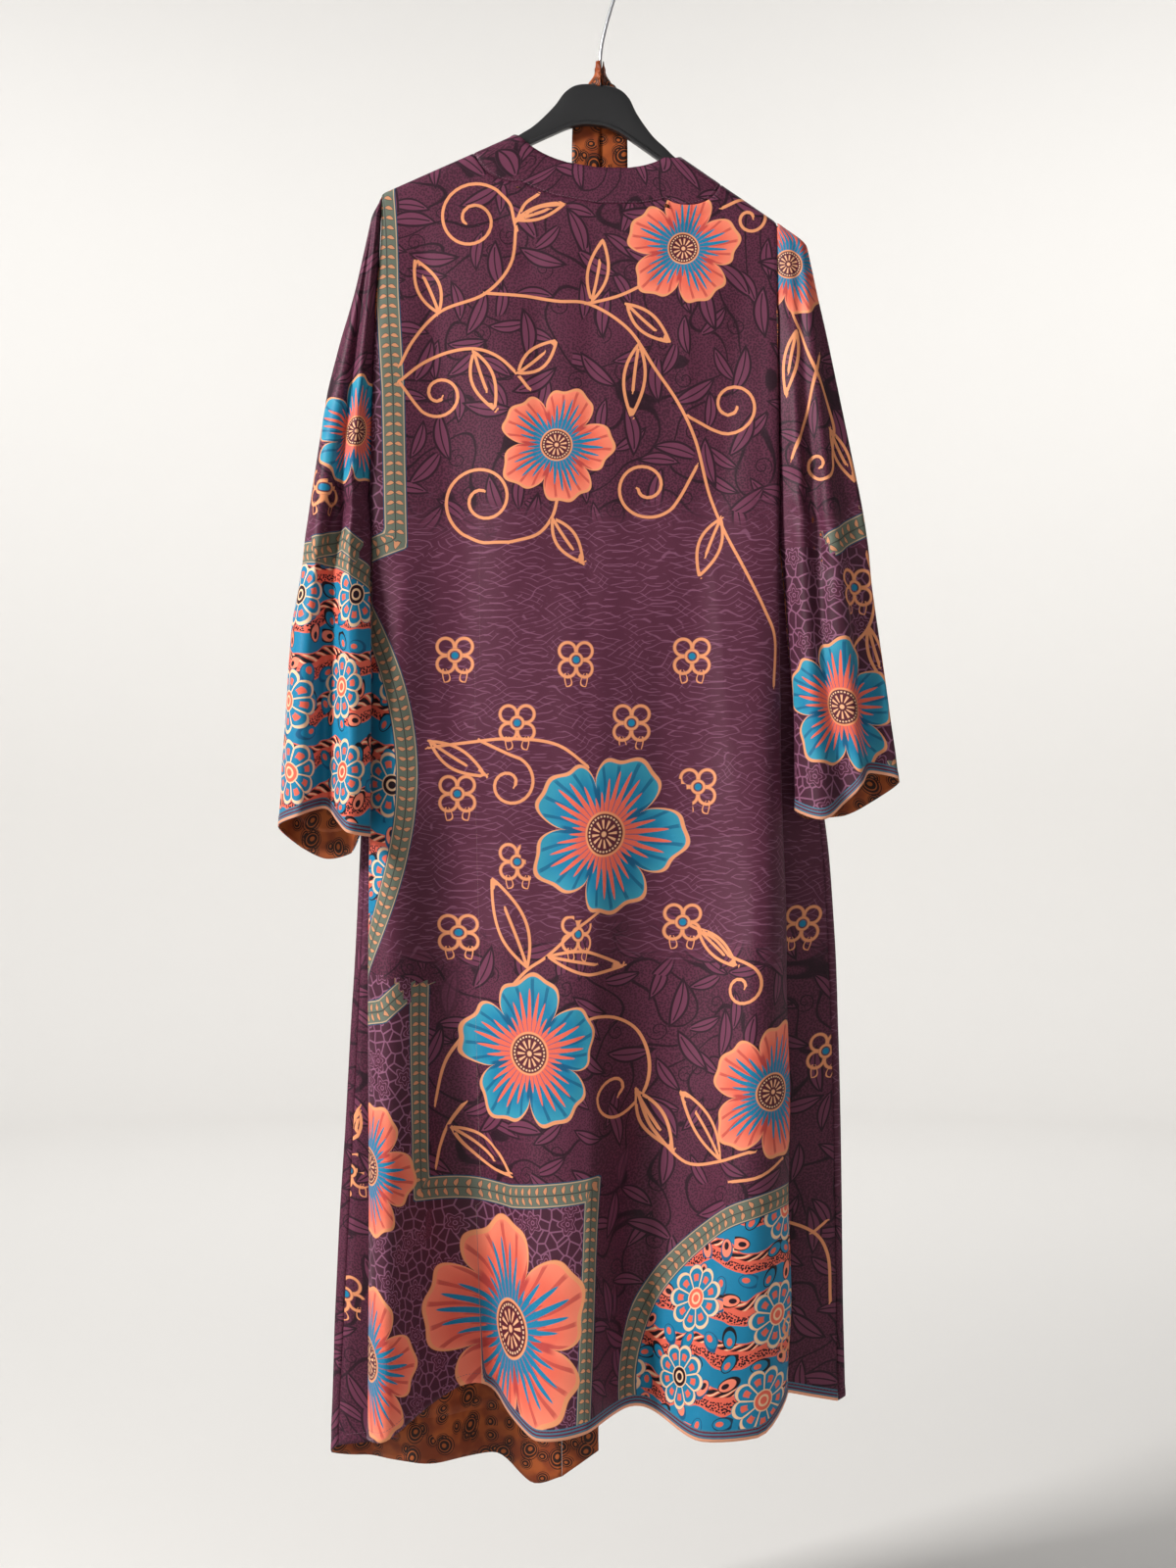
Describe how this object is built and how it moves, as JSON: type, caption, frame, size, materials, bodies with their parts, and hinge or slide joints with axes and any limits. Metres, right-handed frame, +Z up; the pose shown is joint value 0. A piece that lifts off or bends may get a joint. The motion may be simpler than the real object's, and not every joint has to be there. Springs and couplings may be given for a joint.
{
  "type": "silk kimono robe on a clothes hanger",
  "caption": "Long open silk robe of kimono cut with wide sleeves and a tie belt, hung on a moulded clothes hanger with a wire hook",
  "frame": {"origin": "the seat inside the top of the hook, where a rod carries it", "axes": "+Z up along the hanging robe; +Y from the robe's back through to its open fronts; +X to the right as the back is looked at"},
  "size_m": [0.6327, 0.1299, 1.5753],
  "materials": {
    "silk_print": "soft matte printed silk crepe",
    "silk_lining": "soft matte printed silk crepe",
    "hanger_plastic": "moulded, satin",
    "hook_wire": "drawn wire, dull zinc plate"
  },
  "bodies": {
    "root": {"back": "silk_print", "neck_band": "silk_print", "front_left": "silk_print", "front_right": "silk_print", "band_left": "silk_print", "band_right": "silk_print", "sleeve_left": "silk_print", "sleeve_right": "silk_print", "lining_front_left": "silk_lining", "lining_front_right": "silk_lining", "lining_sleeve_left": "silk_lining", "lining_sleeve_right": "silk_lining", "belt": "silk_lining", "hanger_body": "hanger_plastic", "hanger_hook": "hook_wire"}
  },
  "joints": []
}
